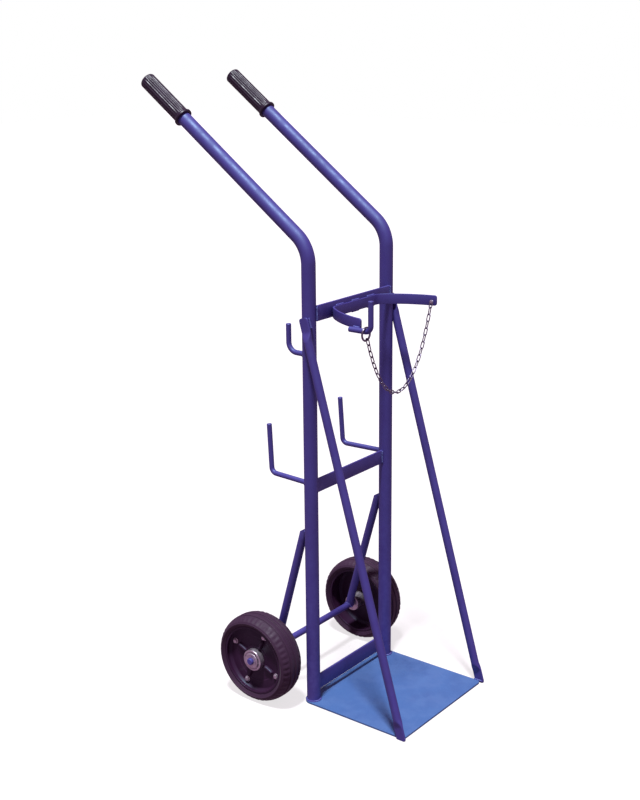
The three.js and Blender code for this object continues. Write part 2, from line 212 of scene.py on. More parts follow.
def piece(name, shell, material, slot, body, *nodes, crease=35):
    """Makes the object, rides it on its body and hides the CAD nodes that it stands for."""
    mesh = bpy.data.meshes.new(name)
    mesh.from_pydata(shell.verts, [], shell.faces)
    work = bmesh.new()
    work.from_mesh(mesh)
    bmesh.ops.recalc_face_normals(work, faces=work.faces)
    work.to_mesh(mesh)
    work.free()
    mesh.shade_smooth()
    mesh.set_sharp_from_angle(angle=math.radians(crease))
    mesh.materials.append(material)
    made = bpy.data.objects.new(name, mesh)
    scene.collection.objects.link(made)
    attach(made, body)
    if nodes:
        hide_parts(*nodes)
    return made


# ---------- materials ----------
class Finish:
    """A node material with one Principled shader, and the few nodes that its pattern needs."""

    def __init__(self, name, roughness, metallic=0.0, **inputs):
        self.material = bpy.data.materials.new(name)
        self.material.use_nodes = True
        self.tree = self.material.node_tree
        self.shader = self.tree.nodes["Principled BSDF"]
        self.shader.inputs["Roughness"].default_value = roughness
        self.shader.inputs["Metallic"].default_value = metallic
        for key, value in inputs.items():
            self.shader.inputs[key.replace("_", " ")].default_value = value
        self.place = self.node("ShaderNodeTexCoord").outputs["Object"]

    def node(self, kind, links=(), **settings):
        made = self.tree.nodes.new(kind)
        for key, value in settings.items():
            setattr(made, key, value)
        for socket, source in dict(links).items():
            if isinstance(source, bpy.types.NodeSocket):
                self.tree.links.new(source, made.inputs[socket])
            else:
                made.inputs[socket].default_value = source
        return made

    def noise(self, scale, detail=3.0, rough=0.5, stretch=None):
        place = self.place
        if stretch:
            place = self.node("ShaderNodeMapping", {"Vector": place, "Scale": stretch}).outputs["Vector"]
        links = {"Vector": place, "Scale": scale, "Detail": detail, "Roughness": rough}
        return self.node("ShaderNodeTexNoise", links).outputs["Fac"]

    def span(self, value, low, high, to_low=0.0, to_high=1.0):
        links = {"Value": value, "From Min": low, "From Max": high, "To Min": to_low, "To Max": to_high}
        return self.node("ShaderNodeMapRange", links, interpolation_type="SMOOTHSTEP").outputs["Result"]

    def times(self, a, b):
        return self.node("ShaderNodeMath", {0: a, 1: b}, operation="MULTIPLY").outputs["Value"]

    def mix(self, share, a, b):
        made = self.node("ShaderNodeMix", data_type="RGBA")
        for socket, source in ((made.inputs["Factor"], share), (made.inputs[6], a), (made.inputs[7], b)):
            if isinstance(source, bpy.types.NodeSocket):
                self.tree.links.new(source, socket)
            else:
                socket.default_value = source if isinstance(source, float) else (*source, 1.0)
        return made.outputs[2]

    def edges(self, low, high):
        """1 on the raised edges, 0 on flat ground."""
        bent = self.node("ShaderNodeNewGeometry").outputs["Pointiness"]
        return self.span(bent, low, high)

    def color(self, source):
        self.tree.links.new(source, self.shader.inputs["Base Color"])

    def rough(self, source):
        self.tree.links.new(source, self.shader.inputs["Roughness"])

    def bump(self, height, strength, distance):
        links = {"Height": height, "Strength": strength, "Distance": distance}
        bump = self.node("ShaderNodeBump", links)
        self.tree.links.new(bump.outputs["Normal"], self.shader.inputs["Normal"])


FRAME_BLUE = (0.043, 0.026, 0.190)
FRAME_BLUE_DEEP = (0.038, 0.021, 0.165)
FRAME_BLUE_WORN = (0.065, 0.052, 0.250)
# The plate's blues are the frame's enamel painted lighter: painted light for the light on the plate's top.
# The dull and worn tones carry the same painted light, on top of random clouding and wear.
PLATE_BLUE_PAINTED_LIGHT = (0.048, 0.105, 0.262)
PLATE_BLUE_PAINTED_LIGHT_DULL = (0.045, 0.092, 0.238)
PLATE_BLUE_PAINTED_LIGHT_WORN = (0.066, 0.125, 0.285)
RIM_MAROON = (0.028, 0.007, 0.026)
RIM_MAROON_DEEP = (0.022, 0.005, 0.020)
RIM_MAROON_WORN = (0.035, 0.024, 0.035)
ENAMEL_GLEAM = (0.55, 0.80, 1.0, 1.0)
GRIP_BLACK, GRIP_DUST = (0.012, 0.004, 0.016), (0.034, 0.020, 0.042)
TYRE_BLACK, TYRE_DUST = (0.026, 0.007, 0.026), (0.040, 0.015, 0.038)
ZINC_BRIGHT, ZINC_DULL = (0.560, 0.500, 0.560), (0.400, 0.350, 0.400)
CHAIN_BRIGHT, CHAIN_DULL = (0.210, 0.185, 0.250), (0.140, 0.120, 0.170)
ALL_WAYS, ALONG_Z = (1.0, 1.0, 1.0), (1.0, 1.0, 4.0)


def paint(name, main, deep, worn, roughness, gloss, scuffed):
    """Enamel on steel: faint clouding, dust specks, orange peel and paler edges."""
    look = Finish(name, roughness, **{"Specular IOR Level": gloss, "Specular Tint": ENAMEL_GLEAM})
    clouds = look.span(look.noise(9, 5, 0.6), 0.35, 0.68)
    ground = look.mix(clouds, main, deep)
    specks = look.span(look.noise(520, 2, 0.5), 0.70, 0.78, 0.0, 0.35)
    dusty = look.mix(specks, ground, worn)
    rubbed = look.times(look.edges(0.53, 0.60), look.span(look.noise(60, 4, 0.7), 0.40, 0.62))
    finished = look.mix(rubbed, dusty, worn)
    if scuffed:
        across = look.noise(34, 6, 0.65, stretch=(1.0, 5.0, 1.0))
        along = look.noise(26, 6, 0.65, stretch=(6.0, 1.0, 1.0))
        scuffs = look.times(look.span(across, 0.52, 0.70), look.span(along, 0.48, 0.70))
        finished = look.mix(look.times(scuffs, 0.85), finished, worn)
        blotches = look.span(look.noise(16, 4, 0.6), 0.42, 0.62, 0.0, 0.55)
        finished = look.mix(blotches, finished, worn)
    look.color(finished)
    look.rough(look.span(look.noise(40, 4, 0.6), 0.3, 0.7, roughness - 0.07, roughness + 0.09))
    look.bump(look.noise(420, 2, 0.5), 0.08, 0.0003)
    return look.material


def rubber(name, main, grey, roughness, grain):
    """Moulded rubber: fine grain, and dust that gathers in patches."""
    sheen = {"Specular IOR Level": 0.32, "Sheen Weight": 0.04, "Sheen Roughness": 0.5}
    look = Finish(name, roughness, **sheen)
    dust = look.span(look.noise(22, 6, 0.65), 0.42, 0.75, 0.0, 0.55)
    specks = look.span(look.noise(700, 2, 0.6), 0.66, 0.76, 0.0, 0.4)
    look.color(look.mix(specks, look.mix(dust, main, grey), grey))
    look.rough(look.span(look.noise(55, 3, 0.6), 0.3, 0.7, roughness - 0.08, roughness + 0.08))
    look.bump(look.noise(grain, 3, 0.6), 0.22, 0.0005)
    return look.material


def plated(name, main, dull, roughness, stretch):
    """Zinc plate: spangle, dull bloom and faint drawing lines."""
    look = Finish(name, roughness, 0.9, **{"Specular IOR Level": 0.5})
    bloom = look.span(look.noise(85, 5, 0.65), 0.40, 0.66)
    look.color(look.mix(bloom, main, dull))
    look.rough(look.span(look.noise(130, 4, 0.6), 0.3, 0.7, roughness - 0.08, roughness + 0.14))
    look.bump(look.noise(260, 4, 0.6, stretch=stretch), 0.14, 0.0003)
    return look.material


FRAME_PAINT = paint("frame_enamel", FRAME_BLUE, FRAME_BLUE_DEEP, FRAME_BLUE_WORN, 0.56, 0.95, False)
# The plate's copy of the enamel, painted lighter than the frame's to stand for the light on its top (painted
# light).
PLATE_PAINT_PAINTED_LIGHT = paint("plate_enamel_painted_light", PLATE_BLUE_PAINTED_LIGHT, PLATE_BLUE_PAINTED_LIGHT_DULL, PLATE_BLUE_PAINTED_LIGHT_WORN, 0.55, 0.40, True)
GRIP_RUBBER = rubber("grip_rubber", GRIP_BLACK, GRIP_DUST, 0.42, 900)
TYRE_RUBBER = rubber("tyre_rubber", TYRE_BLACK, TYRE_DUST, 0.66, 480)
RIM_PAINT = paint("rim_enamel", RIM_MAROON, RIM_MAROON_DEEP, RIM_MAROON_WORN, 0.50, 0.30, False)
ZINC = plated("zinc_plate", ZINC_BRIGHT, ZINC_DULL, 0.36, ALL_WAYS)
CHAIN_STEEL = plated("chain_steel", CHAIN_BRIGHT, CHAIN_DULL, 0.34, ALONG_Z)

# ---------- safety chain ----------
RING_WIRE_R = 0.00225
LINK_WIRE_R = 0.00125
LINK_INNER_WIDTH = 0.0046
LINK_COUNT = 29
CHAIN_LENGTH = 0.446              # of the CAD bar, between the hooked links
CHAIN_START = Vector((0.0059, 0, -0.0158))      # from the ring's centre
CHAIN_END = Vector((0.1345, -0.131, 0.922))
CHAIN_STEPS = 44
SCREW_R = 0.002
LAST_LINK_X = 0.1390              # between the screw's head and the cradle's right arm

ring_centre = middle("chain_ring")
ring_radius = (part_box("chain_ring")[1].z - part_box("chain_ring")[0].z) / 2 - RING_WIRE_R
screw = middle("chain_screw")


def hanging(a, b, length, steps):
    """Points of a chain of that length hanging between two fixings: a catenary."""
    across = Vector((b.x - a.x, b.y - a.y, 0))
    span, rise = across.length, b.z - a.z
    target = math.sqrt(length ** 2 - rise ** 2)
    low, high = span / 20, span * 20
    for _ in range(60):
        mid = (low + high) / 2
        if 2 * mid * math.sinh(span / (2 * mid)) > target:
            low = mid
        else:
            high = mid
    c = (low + high) / 2
    lowest = span / 2 - c * math.atanh(rise / length)
    first = c * math.sinh(-lowest / c)
    points = []
    for i in range(steps + 1):
        s = lowest + c * math.asinh((first + length * i / steps) / c)
        drop = c * math.cosh((s - lowest) / c) - c * math.cosh(lowest / c)
        points.append(a + across * (s / span) + Z * drop)
    return points


chain_from = ring_centre + CHAIN_START.normalized() * (ring_radius - RING_WIRE_R)
chain_to = Vector((LAST_LINK_X, screw.y, screw.z + SCREW_R))
chain_path = [chain_from, *hanging(ring_centre + CHAIN_START, CHAIN_END, CHAIN_LENGTH, CHAIN_STEPS), chain_to]
chain_run = sum((b - a).length for a, b in zip(chain_path, chain_path[1:]))


def link_loop(inner_length, inner_width, wire, steps=9):
    """Centre line of one oval link, as pairs along and across it."""
    bend = inner_width / 2 + wire
    straight = inner_length / 2 + wire - bend
    loop = []
    for way in (1, -1):
        for k in range(steps + 1):
            angle = math.pi * (k / steps - 0.5)
            loop.append((way * (straight + bend * math.cos(angle)), way * bend * math.sin(angle)))
    return loop


def make_chain():
    pitch = chain_run / LINK_COUNT
    route = resampled(chain_path, 2 * LINK_COUNT)
    loop = link_loop(pitch, LINK_INNER_WIDTH, LINK_WIRE_R)
    shell = Shell()
    for i in range(LINK_COUNT):
        before, centre, after = route[2 * i:2 * i + 3]
        along = (after - before).normalized()
        flat = (Y - along * along.y).normalized()
        if i % 2:
            flat = along.cross(flat)
        points = [centre + along * a + flat * b for a, b in loop]
        shell.sweep(points, along.cross(flat), lambda _: circle(LINK_WIRE_R, 12), closed=True)
    chain = piece("chain_links", shell, CHAIN_STEEL, "chain_steel", "safety_chain", "chain")

    shell = Shell()
    points = [ring_centre + Vector((a, 0, b)) for a, b in circle(ring_radius, 64)]
    shell.sweep(points, Y, lambda _: circle(RING_WIRE_R, 20), closed=True)
    ring = piece("ring", shell, CHAIN_STEEL, "chain_steel", "safety_chain", "chain_ring")


make_chain()

# ---------- frame tubes ----------
TUBE_R = 0.0159
STAY_R = 0.0096
ROD_R = 0.006
BEND_CORNER_Z = 1.083
BEND_R = 0.076
HANDLE_ANGLE = math.radians(36.2)
HANDLE_LENGTH = 0.570
WELD_R = 0.0024
UPRIGHT_X = middle("right_upright").x
handle_way = Vector((0, math.cos(HANDLE_ANGLE), math.sin(HANDLE_ANGLE)))
plate_low, plate_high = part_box("base_plate")


def handle_end(side):
    return Vector((side * UPRIGHT_X, 0, BEND_CORNER_Z)) + handle_way * HANDLE_LENGTH


def make_upright(side, label):
    foot = Vector((side * UPRIGHT_X, 0, plate_high.z))
    corner = Vector((side * UPRIGHT_X, 0, BEND_CORNER_Z))
    shell = Shell()
    shell.rod(rounded([foot, corner, handle_end(side)], BEND_R, 20), TUBE_R, X, 64)
    ring = [foot + Vector((a, b, 0.0006)) for a, b in circle(TUBE_R + 0.0004, 48)]
    shell.weld(ring, WELD_R, foot)
    piece(f"{label}_tube", shell, FRAME_PAINT, "frame_paint", "frame", f"{label}_upright")


def make_crossbar(name):
    """Flat bar with eased edges, its ends fitted to the uprights and welded to them on both faces."""
    low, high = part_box(name)
    corners = [(low.y, low.z), (high.y, low.z), (high.y, high.z), (low.y, high.z)]
    section = rounded(corners, 0.0008, 3, closed=True)

    def reach(y):
        return min(high.x, UPRIGHT_X - math.sqrt(max(TUBE_R ** 2 - y ** 2, 0.0)))

    ends = [[Vector((side * reach(p.x), p.x, p.y)) for p in section] for side in (-1, 1)]
    shell = Shell()
    shell.grid([[left.lerp(right, k / 6) for left, right in zip(*ends)] for k in range(7)])
    for side in (-1, 1):
        for y in (low.y, high.y):
            foot = Vector((side * (reach(y) - 0.0004), y, low.z + 0.0015))
            shell.weld([foot, foot + Z * (high.z - low.z - 0.0030)], WELD_R)
    piece(name.replace("crossbar", "bar"), shell, FRAME_PAINT, "frame_paint", "frame", name)


for side, label in SIDES:
    make_upright(side, label)
for name in ("top_crossbar", "middle_crossbar", "bottom_crossbar"):
    make_crossbar(name)

# ---------- grips ----------
GRIP_LENGTH = 0.138
GRIP_R = 0.0186
COLLAR_R = 0.022
GRIP_DEPTH = 0.1345               # of the socket that the tube fills
FLUTES = 20
FLUTE_DEPTH = 0.0011
SEGMENTS_A_FLUTE = 8


def make_grip(side, label):
    """A rubber sleeve with lengthwise ribs, a collar at its mouth and a crowned end."""
    mouth = handle_end(side) - handle_way * GRIP_DEPTH
    inner = TUBE_R + 0.0002
    outline = rounded([
        (0, inner, GRIP_DEPTH), (0, inner, 0), (0, COLLAR_R, 0), (0, COLLAR_R, 0.0052), (0, GRIP_R, 0.0078),
        (0, GRIP_R, GRIP_LENGTH), (0, 0.0015, GRIP_LENGTH + 0.0010),
    ], [0, 0.0008, 0.0018, 0.0018, 0.0022, 0.0045, 0], 6)
    stops = []
    for a, b in zip(outline, outline[1:]):
        parts = max(1, math.ceil(abs(b.z - a.z) / 0.006)) if a.y > inner * 1.02 else 1
        stops += [a.lerp(b, k / parts) for k in range(parts)]
    stops.append(outline[-1])
    across = handle_way.cross(X)
    count = FLUTES * SEGMENTS_A_FLUTE
    rings = []
    for _, r, s in stops:
        fade = min(1.0, max(0.0, (s - 0.011) / 0.004), max(0.0, (GRIP_LENGTH - 0.006 - s) / 0.004))
        ring = []
        for k in range(count):
            angle = 2 * math.pi * k / count
            groove = (0.5 - 0.5 * math.cos(FLUTES * angle)) ** 1.6 * FLUTE_DEPTH * fade
            out = X * math.cos(angle) + across * math.sin(angle)
            ring.append(mouth + handle_way * s + out * (r - (groove if r > inner * 1.05 else 0)))
        rings.append(ring)
    shell = Shell()
    shell.grid(rings)
    piece(f"{label}_handgrip", shell, GRIP_RUBBER, "grip_rubber", "frame", f"{label}_grip")


for side, label in SIDES:
    make_grip(side, label)

# ---------- base plate ----------
FRONT_CORNER_R = 0.010
BACK_CORNER_R = 0.020
EDGE_R = 0.0009


def make_plate():
    """A cut plate with eased edges, and one ring of faces just inside them that keeps its faces flat."""
    def outline(inset, z):
        low, high = plate_low, plate_high
        corners = [(low.x + inset, low.y + inset, z), (high.x - inset, low.y + inset, z),
                   (high.x - inset, high.y - inset, z), (low.x + inset, high.y - inset, z)]
        front, back = FRONT_CORNER_R - inset, BACK_CORNER_R - inset
        return rounded(corners, [front, front, back, back], 8, closed=True)

    steps = [(EDGE_R * (1 - math.sin(a)), EDGE_R * (1 - math.cos(a))) for a in
             (math.radians(90 * k / 3) for k in range(4))]
    bottom = [(inset, plate_low.z + rise) for inset, rise in steps]
    top = [(inset, plate_high.z - rise) for inset, rise in reversed(steps)]
    inside = EDGE_R + 0.0015
    levels = [(inside, plate_low.z), *bottom, *top, (inside, plate_high.z)]
    shell = Shell()
    shell.grid([outline(inset, z) for inset, z in levels])
    # The plate wears the lighter copy of the enamel, which carries painted light for its lit top.
    piece("footplate", shell, PLATE_PAINT_PAINTED_LIGHT, "plate_paint", "frame", "base_plate")


make_plate()

# ---------- front stays ----------
STAY_X = 0.1657
STAY_TOP = Vector((0, 0, 0.925))
STAY_FOOT = Vector((0, -0.265, 0.009))
TAB_T, TAB_W, TAB_LENGTH, TAB_TAPER = 0.005, 0.024, 0.030, 0.024
TAB_CORNER_R = 0.006
STAY_OVER_TOP, STAY_OVER_FOOT = 0.006, 0.012


def make_front_stay(side, label):
    """A tube with its two ends pressed flat: one welded to the upright, the other to the plate's edge."""
    along = (STAY_TOP - STAY_FOOT).normalized()
    across = along.cross(X)
    length = (STAY_TOP - STAY_FOOT).length
    tab_top = side * (UPRIGHT_X + TUBE_R + GAP + TAB_T / 2)
    tab_foot = side * (plate_high.x + GAP + TAB_T / 2)
    first, last = -STAY_OVER_FOOT, length + STAY_OVER_TOP
    near = [0, 0.0004, 0.0012, 0.0025, 0.004, 0.006, 0.012, 0.020, TAB_LENGTH]
    near += [TAB_LENGTH + TAB_TAPER * k / 8 for k in range(1, 9)]
    stops = [first + s for s in near] + [last - s for s in reversed(near)]
    rings = []
    for s in stops:
        from_end = min(s - first, last - s)
        share = min(1.0, max(0.0, (from_end - TAB_LENGTH) / TAB_TAPER))
        share = share * share * (3 - 2 * share)
        tab_x = tab_foot if s < length / 2 else tab_top
        thick = TAB_T / 2 + (STAY_R - TAB_T / 2) * share
        wide = TAB_W / 2 + (STAY_R - TAB_W / 2) * share
        cut = max(0.0, TAB_CORNER_R - from_end)
        wide -= TAB_CORNER_R - math.sqrt(max(TAB_CORNER_R ** 2 - cut ** 2, 0.0))
        power = 2 / (2 + 3.5 * (1 - share))
        heart = Vector((tab_x + (side * STAY_X - tab_x) * share, STAY_FOOT.y, STAY_FOOT.z)) + along * s
        ring = []
        for a, b in circle(1, 48):
            u = math.copysign(abs(a) ** power, a) * thick
            v = math.copysign(abs(b) ** power, b) * wide
            p = heart + X * u + across * v
            ring.append(Vector((p.x, p.y, max(p.z, GAP))))
        rings.append(ring)
    shell = Shell()
    shell.grid(rings)
    upright_side = side * (UPRIGHT_X + 0.0125)
    for way in (-1, 1):
        heart = Vector((upright_side, 0, 0)) + STAY_TOP + across * (way * 0.0108)
        shell.weld([heart - along * 0.020, heart + along * (STAY_OVER_TOP - 0.002)], 0.0029)
    edge = Vector((side * (plate_high.x + GAP), STAY_FOOT.y, plate_high.z))
    shell.weld([edge - Y * 0.0105, edge + Y * 0.0125], 0.0022)
    piece(f"{label}_stay", shell, FRAME_PAINT, "frame_paint", "frame", f"{label}_front_stay")


for side, label in SIDES:
    make_front_stay(side, label)

# ---------- axle and the stays that carry it ----------
AXLE_STAY_TOP_Z = 0.502
AXLE_STAY_TRIM_Z = 0.4436         # height of the plane that cuts its top off, on the upright's centre line
AXLE_STAY_TRIM_ANGLE = math.radians(31)
AXLE_STAY_WALL = 0.0015
axle_low, axle_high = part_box("axle")
axle = (axle_low + axle_high) / 2
AXLE_R = (axle_high.z - axle_low.z) / 2


def make_axle_stay(side, label):
    """A tube cut to fit the axle at its foot and the upright's back at its top, where its end is cut off."""
    top = Vector((side * UPRIGHT_X, 0, AXLE_STAY_TOP_Z))
    foot = Vector((side * UPRIGHT_X, axle.y, axle.z))
    along = (top - foot).normalized()
    across = along.cross(X)
    trim = Vector((0, math.sin(AXLE_STAY_TRIM_ANGLE), math.cos(AXLE_STAY_TRIM_ANGLE)))
    trim_at = AXLE_STAY_TRIM_Z * trim.z

    def ring(radius, end):
        made = []
        for a, b in circle(radius, 48):
            offset = X * a + across * b
            start = foot + offset
            if end == "foot":
                made.append(start + along * math.sqrt(max((AXLE_R + 0.0002) ** 2 - b ** 2, 0.0)))
                continue
            back = math.sqrt(TUBE_R ** 2 - a ** 2)
            climb = (start.y - back) / -along.y
            made.append(start + along * min(climb, (trim_at - trim.dot(start)) / trim.dot(along)))
        return made

    low_ring, high_ring = ring(STAY_R, "foot"), ring(STAY_R, "top")
    bore = ring(STAY_R - AXLE_STAY_WALL, "top")
    shell = Shell()
    walls = [[p.lerp(q, k / 6) for p, q in zip(low_ring, high_ring)] for k in range(7)]
    shell.grid([*walls, bore, [p - along * 0.010 for p in bore]])
    shell.weld(low_ring, WELD_R * 0.9, sum(low_ring, Vector()) / len(low_ring))
    seam = [p for p in high_ring if p.y < math.sqrt(TUBE_R ** 2 - (p.x - foot.x) ** 2) + 0.0004]
    seam.sort(key=lambda p: math.atan2(p.x - foot.x, 0.430 - p.z))
    shell.weld([p + Y * 0.0006 for p in seam], WELD_R * 0.9)
    piece(f"{label}_strut", shell, FRAME_PAINT, "frame_paint", "frame", f"{label}_axle_stay")


for side, label in SIDES:
    make_axle_stay(side, label)

shell = Shell()
shell.rod([Vector((x, axle.y, axle.z)) for x in (axle_low.x, 0, axle_high.x)], AXLE_R, Z, 48, 0.0015)
piece("axle_bar", shell, FRAME_PAINT, "frame_paint", "frame", "axle")

# ---------- wheels ----------
WHEEL_X = 0.2045
RIM_R = 0.084
WEB_OUT = 0.016
WEB_IN = 0.010
HUB_R = 0.020
BOSS_R = 0.026
HUB_INNER = -0.0485
HUB_OUTER = 0.0315
BOLT_CIRCLE_R = 0.0675
RIB_START = math.radians(-66)
RIB_COUNT = 4
TREAD_BLOCKS = 48
BLOCK_SEGMENTS = 4                # two of them a block, two the notch beside it
NOTCH_DEPTH = 0.0019
NOTCHED_HEIGHT = 0.0125
TYRE_R = axle.z


def loop(points, radii, steps=3):
    """A closed (radius, distance) outline with rounded corners."""
    return [(p.x, p.y) for p in rounded([(r, x, 0) for r, x in points], radii, steps, closed=True)]


def make_tyre(centre, side, label):
    """A solid rubber tyre with a ribbed tread, notched shoulders and a raised line on each wall."""
    mm = 0.001
    half = [(TYRE_R - 2.4 * mm, 2.6 * mm), (TYRE_R, 3.4 * mm), (TYRE_R - 0.5 * mm, 12.4 * mm),
            (TYRE_R - 3.0 * mm, 13.2 * mm), (TYRE_R - 3.1 * mm, 15.6 * mm), (TYRE_R - 1.2 * mm, 16.6 * mm),
            (TYRE_R - 4.6 * mm, 26.0 * mm), (TYRE_R - 9.5 * mm, 32.6 * mm), (TYRE_R - 13.0 * mm, 34.4 * mm),
            (TYRE_R - 14.0 * mm, 35.4 * mm), (TYRE_R - 15.6 * mm, 35.2 * mm), (TYRE_R - 17.0 * mm, 33.8 * mm),
            (RIM_R + 2.5 * mm, 31.8 * mm), (RIM_R + 0.2 * mm, 30.4 * mm)]
    outline = [*half, *((r, -x) for r, x in reversed(half))]
    profile = loop(outline, 0.0011)

    def notch(i, k):
        r, x = profile[i]
        shoulder = min(1.0, max(0.0, (abs(x) - 0.0172) / 0.0015), max(0.0, (0.0330 - abs(x)) / 0.003))
        in_notch = k % BLOCK_SEGMENTS >= BLOCK_SEGMENTS // 2 and r > TYRE_R - NOTCHED_HEIGHT
        return NOTCH_DEPTH * shoulder * in_notch

    shell = Shell()
    shell.turned(profile, centre, side, TREAD_BLOCKS * BLOCK_SEGMENTS, wave=notch)
    names = (f"{label}_wheel", f"{label}_tyre")
    piece(f"{label}_rubber_tyre", shell, TYRE_RUBBER, "tyre_rubber", *names, crease=28)


def make_rim(centre, side, label):
    """A dished rim with rolled lips, a stepped web, a boss seat and four ribs."""
    barrel = RIM_R - 0.004
    outline = [
        (HUB_R + GAP, WEB_IN), (barrel - 0.006, WEB_IN), (barrel, WEB_IN - 0.006), (barrel, -0.027),
        (barrel - 0.002, -0.0305), (RIM_R, -0.0305), (RIM_R, 0.0305), (barrel - 0.002, 0.0305),
        (barrel, 0.0265), (barrel, WEB_OUT + 0.006), (barrel - 0.005, WEB_OUT), (0.0565, WEB_OUT),
        (0.0545, WEB_OUT - 0.0012), (0.0335, WEB_OUT - 0.0012), (0.0315, WEB_OUT), (HUB_R + GAP, WEB_OUT)]
    radii = [0, 0.004, 0.004, *[0.001] * 6, 0.005, 0.004, *[0.001] * 4, 0]
    shell = Shell()
    shell.turned(loop(outline, radii, 4), centre, side, 128)
    for k in range(RIB_COUNT):
        angle = RIB_START + 2 * math.pi * k / RIB_COUNT
        way = Vector((0, math.cos(angle), math.sin(angle)))
        points, sizes = [], []
        for share in (0, 0.04, 0.12, 0.3, 0.5, 0.7, 0.88, 0.96, 1):
            points.append(centre + way * (0.0285 + 0.0285 * share) + X * (side * (WEB_OUT - 0.002)))
            sizes.append(min(1.0, 0.45 + 6 * min(share, 1 - share)))
        shell.sweep(points, X * side, lambda i: [
            (max(-0.001, 0.0078 * sizes[i] * c), 0.0045 * sizes[i] * math.copysign(abs(s) ** 0.7, s))
            for c, s in circle(1, 24)])
    piece(f"{label}_wheel_rim", shell, RIM_PAINT, "rim_paint", f"{label}_wheel", f"{label}_rim")


def make_hub(centre, side, label):
    """A plated hub: a long inner sleeve and a flanged boss with a turned face."""
    bore = AXLE_R + 0.0002
    outline = [
        (bore, HUB_INNER), (HUB_R, HUB_INNER), (HUB_R, WEB_OUT + GAP), (BOSS_R, WEB_OUT + GAP),
        (BOSS_R, HUB_OUTER), (0.0215, HUB_OUTER), (0.0205, HUB_OUTER - 0.0012), (bore, HUB_OUTER - 0.0012)]
    radii = [0, 0.0025, 0, 0.001, 0.0035, 0.0008, 0.0004, 0]
    shell = Shell()
    shell.turned(loop(outline, radii, 5), centre, side, 96)
    piece(f"{label}_wheel_hub", shell, ZINC, "zinc_steel", f"{label}_wheel", f"{label}_hub")


def make_rim_bolt(centre, side, label, k):
    """A hexagon head on a washer."""
    angle = RIB_START + 2 * math.pi * k / RIB_COUNT
    place = centre + Vector((0, math.cos(angle), math.sin(angle))) * BOLT_CIRCLE_R
    foot = WEB_OUT + GAP
    washer = [(0.0068, foot), (0.0072, foot + 0.0003), (0.0072, foot + 0.0010), (0.0068, foot + 0.0013)]
    head = [(0.0056, foot + 0.0010), (0.0056, foot + 0.0044),
            (0.0050, foot + 0.0052), (0.0030, foot + 0.0054)]
    shell = Shell()
    shell.turned(washer, place, side, 32, closed=False)
    shell.turned(head, place, side, 6, closed=False)
    name = f"{label}_rim_bolt_{k + 1}"
    piece(name.replace("rim_bolt", "wheel_bolt"), shell, ZINC, "zinc_steel", f"{label}_wheel", name)


def make_retainer(centre, side, label):
    """The pressed washer that keeps the wheel on the axle."""
    inner = AXLE_R + GAP
    outline = [(inner, HUB_OUTER + GAP), (0.019, HUB_OUTER + GAP), (0.019, HUB_OUTER + 0.0020),
               (0.0150, HUB_OUTER + 0.0033), (0.0120, HUB_OUTER + 0.0024), (inner, HUB_OUTER + 0.0033)]
    shell = Shell()
    shell.turned(loop(outline, [0, 0.0004, 0.0010, 0.0012, 0.0012, 0.0006], 4), centre, side, 64)
    piece(f"{label}_axle_washer", shell, ZINC, "zinc_steel", "frame", f"{label}_axle_retainer")


for side, label in SIDES:
    wheel_centre = Vector((side * WHEEL_X, axle.y, axle.z))
    make_tyre(wheel_centre, side, label)
    make_rim(wheel_centre, side, label)
    make_hub(wheel_centre, side, label)
    for k in range(RIB_COUNT):
        make_rim_bolt(wheel_centre, side, label, k)
    make_retainer(wheel_centre, side, label)

# ---------- cylinder cradle ----------
ARM_R = 0.231                     # inner face of each arm
ARM_CENTRE_X = -0.084             # of the right arm's curve, beyond the middle of the trolley
ARM_CENTRE_Y = -0.180
CRADLE_TIP_Y = -0.141
CRADLE_T = 0.004
KINK_R = 0.020
TIP_CORNER_R = 0.005
HOLE_R = 0.0023
ARM_STEPS = 24
cradle_low, cradle_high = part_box("cylinder_saddle")
CRADLE_BACK_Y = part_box("top_crossbar")[0].y - GAP - CRADLE_T


def arm_points():
    """Inner face of the right arm in plan, from its tip to its corner with the straight back."""
    start = math.asin((CRADLE_TIP_Y - ARM_CENTRE_Y) / ARM_R)
    end = math.asin((CRADLE_BACK_Y - ARM_CENTRE_Y) / ARM_R)
    angles = [start + (end - start) * i / ARM_STEPS for i in range(ARM_STEPS + 1)]
    centre = Vector((ARM_CENTRE_X, ARM_CENTRE_Y, 0))
    points = [centre + Vector((ARM_R * math.cos(a), ARM_R * math.sin(a), 0)) for a in angles]
    tip = [points[0].lerp(points[1], share) for share in (0, 0.1, 0.3, 0.6)]
    return tip + points[1:-4] + points[-1:]


